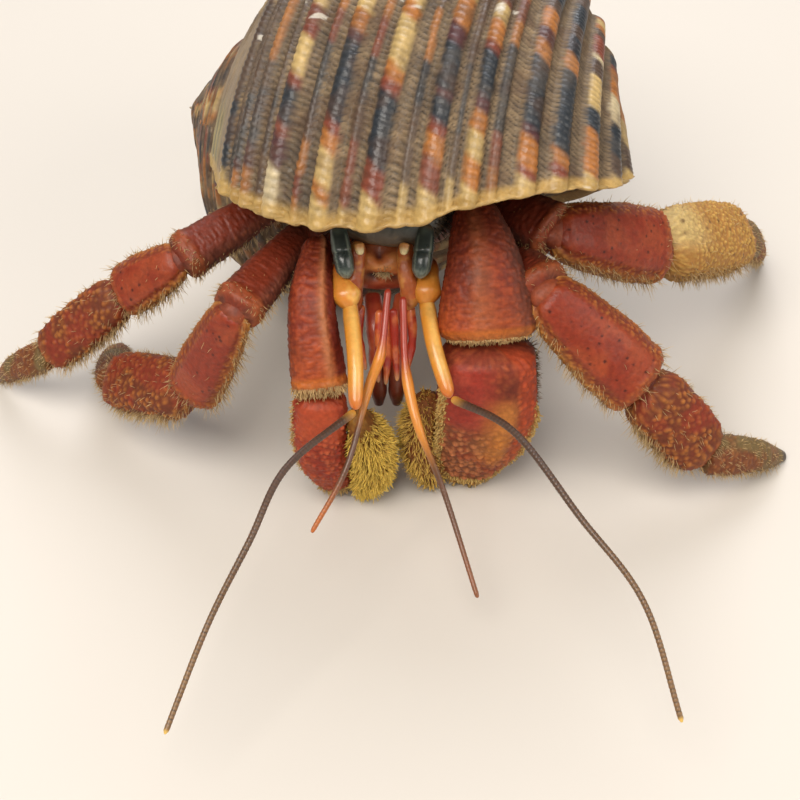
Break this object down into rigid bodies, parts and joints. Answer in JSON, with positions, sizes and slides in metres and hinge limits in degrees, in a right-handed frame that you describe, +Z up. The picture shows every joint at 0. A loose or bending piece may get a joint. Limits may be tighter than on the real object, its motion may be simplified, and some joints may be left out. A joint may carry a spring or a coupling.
{
  "type": "land hermit crab in a turban shell",
  "caption": "Land hermit crab, life size, standing on the floor and looking out of a ribbed turban shell, with a large left claw.",
  "frame": {"origin": "centre of the flat under the shell, where the shell rests on the floor", "axes": "+Z up, -Y the way the crab faces, +X towards the crab's left"},
  "size_m": [0.0947, 0.0967, 0.0519],
  "materials": {
    "shell": "worn gloss",
    "shield": "satin",
    "face": "satin",
    "soft_skin": "soft",
    "eye": "gloss",
    "whip": "satin",
    "antenna": "satin",
    "bristled_finger": "bristled",
    "claw": "rough",
    "jaw_leg": "satin",
    "leg_tip": "rough",
    "leg": "rough"
  },
  "bodies": {
    "root": {"shell": "shell", "shield": "shield", "face": "face", "thorax": "soft_skin", "abdomen": "soft_skin", "right_eyestalk": "eye", "right_cornea": "eye", "left_eyestalk": "eye", "left_cornea": "eye", "right_antenna_stalk": "antenna", "right_antenna_last_segment": "antenna", "right_antenna_whip": "whip", "left_antenna_stalk": "antenna", "left_antenna_last_segment": "antenna", "left_antenna_whip": "whip", "right_antennule": "antenna", "left_antennule": "antenna", "right_jaw_leg": "jaw_leg", "left_jaw_leg": "jaw_leg", "left_claw_carpus": "claw", "left_claw_palm": "claw", "left_claw_finger": "bristled_finger", "left_claw_merus": "claw", "right_claw_carpus": "claw", "right_claw_palm": "claw", "right_claw_finger": "bristled_finger", "right_claw_merus": "claw", "right_second_leg_merus": "leg", "right_second_leg_carpus": "leg", "right_second_leg_propodus": "leg", "right_second_leg_dactyl": "leg_tip", "right_third_leg_merus": "leg", "right_third_leg_carpus": "leg", "right_third_leg_propodus": "leg", "right_third_leg_dactyl": "leg_tip", "left_second_leg_merus": "leg", "left_second_leg_carpus": "leg", "left_second_leg_propodus": "leg", "left_second_leg_dactyl": "leg_tip", "left_third_leg_merus": "leg", "left_third_leg_carpus": "leg", "left_third_leg_propodus": "leg", "left_third_leg_dactyl": "leg_tip"}
  },
  "joints": []
}
